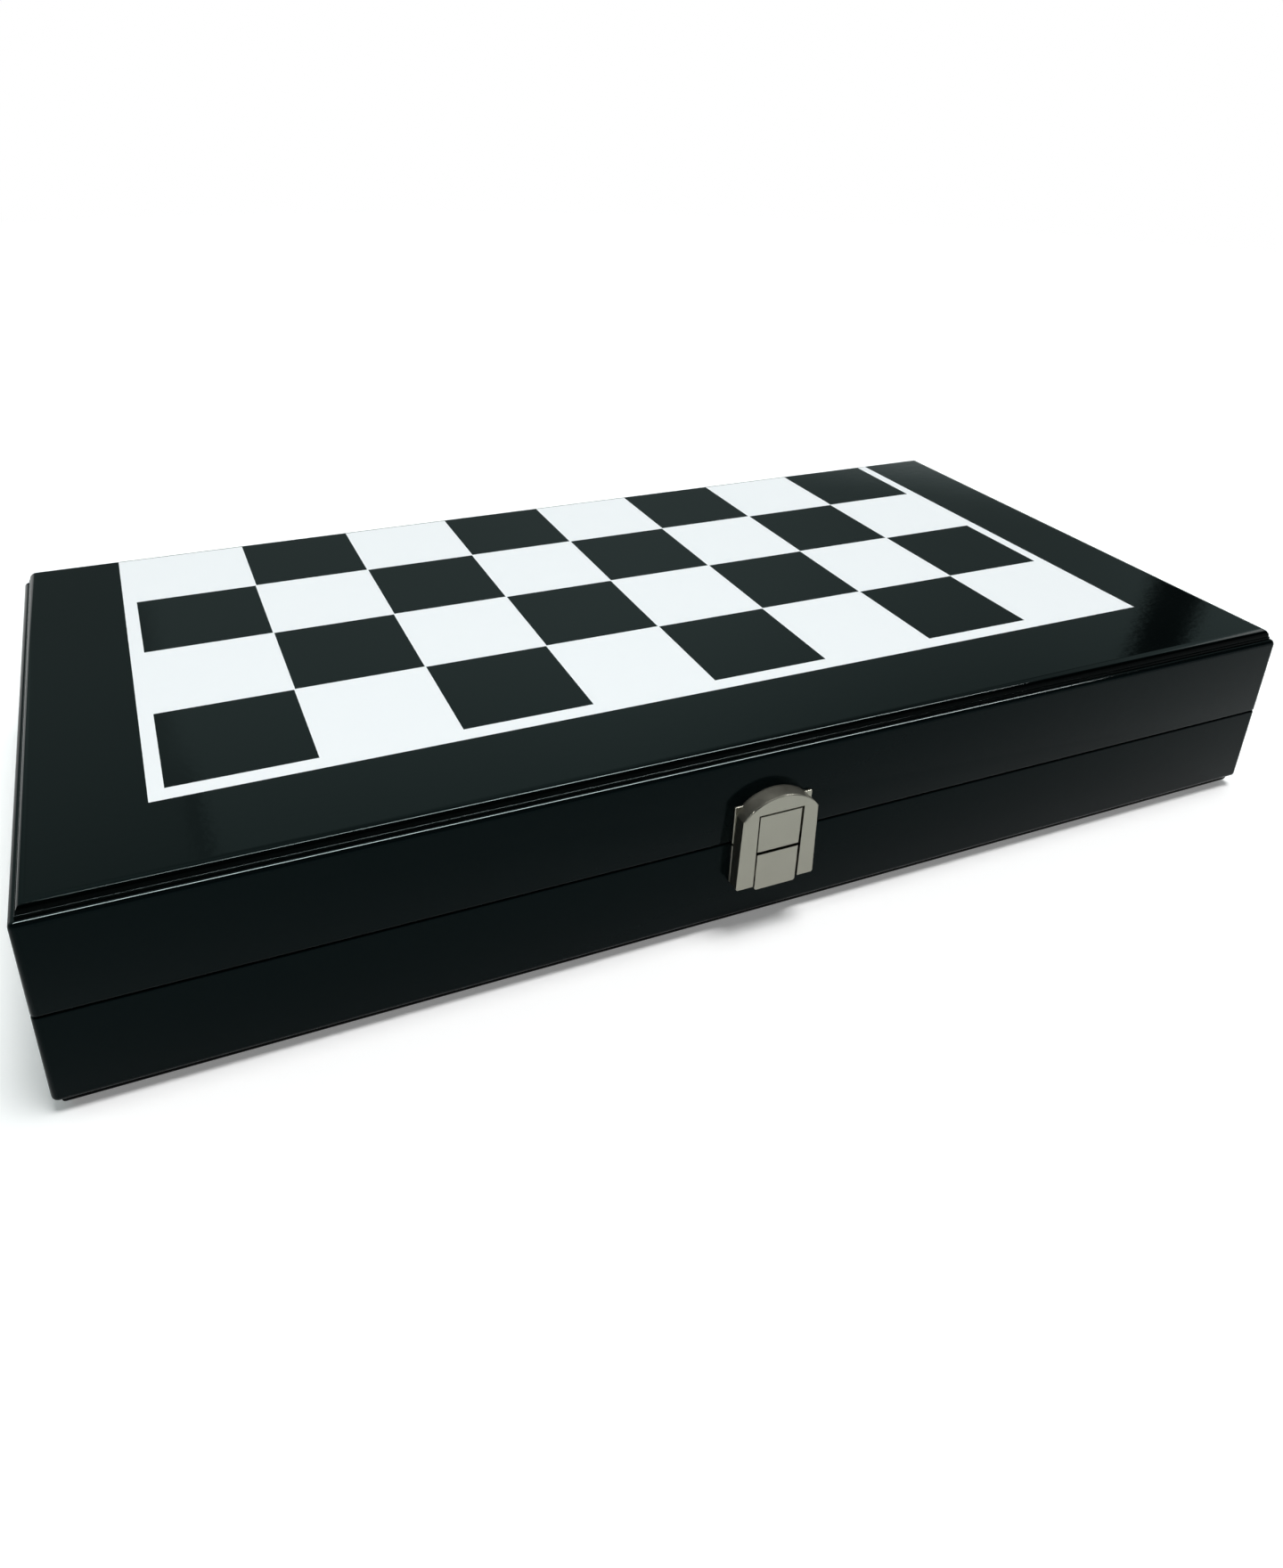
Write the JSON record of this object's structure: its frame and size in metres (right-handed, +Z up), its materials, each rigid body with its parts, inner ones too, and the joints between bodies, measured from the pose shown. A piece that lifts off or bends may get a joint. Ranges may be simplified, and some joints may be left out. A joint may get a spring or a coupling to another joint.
{
  "type": "folding magnetic chess set",
  "caption": "Flat black lacquered case that opens on two hinges into a chequered magnetic board, with a press latch in front and foam trays that hold the chessmen inside.",
  "frame": {"origin": "centre of the bottom of the closed set's bounding box, on the surface it lies on", "axes": "+X along the length, to the right of someone who faces the latch; +Y from the latch towards the hinges; +Z up"},
  "size_m": [0.38, 0.1974, 0.06],
  "materials": {
    "black_lacquer": "black piano lacquer on wood, polished",
    "white_print": "white screen print under clear lacquer",
    "tinned_sheet": "tinned steel sheet",
    "foam_lining": "black flocked foam",
    "satin_nickel": "satin nickel plate on pressed steel",
    "hinge_steel": "nickel-plated steel",
    "spring_steel": "blued spring steel strip",
    "magnet": "sintered ferrite magnet",
    "white_men": "satin ivory plastic with a felt under the foot",
    "black_men": "satin black plastic with a felt under the foot"
  },
  "bodies": {
    "lower_half": {"lower_panel": "black_lacquer", "lower_front_rail": "black_lacquer", "lower_rear_rail": "black_lacquer", "lower_left_rail": "black_lacquer", "lower_right_rail": "black_lacquer", "lower_board_print": "white_print", "lower_steel_sheet": "tinned_sheet", "lower_foam_bed": "foam_lining", "lower_foam_insert": "foam_lining", "hinge_lower_leaves": "hinge_steel", "hinge_lower_screws": "hinge_steel", "hinge_pins": "hinge_steel", "latch_lower_plate": "satin_nickel", "latch_tongue": "satin_nickel", "latch_lower_nails": "satin_nickel", "white_king": "white_men", "white_queen": "white_men", "white_bishops": "white_men", "white_knights": "white_men", "white_rooks": "white_men", "white_pawns": "white_men", "white_magnets": "magnet"},
    "upper_half": {"upper_panel": "black_lacquer", "upper_front_rail": "black_lacquer", "upper_rear_rail": "black_lacquer", "upper_left_rail": "black_lacquer", "upper_right_rail": "black_lacquer", "upper_board_print": "white_print", "upper_steel_sheet": "tinned_sheet", "upper_foam_bed": "foam_lining", "upper_foam_insert": "foam_lining", "hinge_upper_leaves": "hinge_steel", "hinge_upper_screws": "hinge_steel", "latch_upper_plate": "satin_nickel", "latch_cover": "satin_nickel", "latch_upper_nails": "satin_nickel", "latch_spring": "spring_steel", "black_king": "black_men", "black_queen": "black_men", "black_bishops": "black_men", "black_knights": "black_men", "black_rooks": "black_men", "black_pawns": "black_men", "black_magnets": "magnet"},
    "latch_button": {"latch_button": "satin_nickel"}
  },
  "joints": [
    {"name": "lid_hinge", "type": "hinge", "parent": "lower_half", "child": "upper_half", "pos_m": [0, 0.09667, 0.03], "axis": [-1, 0, 0], "range_deg": [0, 180]},
    {"name": "latch_press", "type": "slide", "parent": "upper_half", "child": "latch_button", "axis": [0, 1, 0], "range_m": [0, 0.0014], "stiffness_N_per_m": 1500, "springref_m": -0.002, "deforming": ["latch_spring"]}
  ]
}
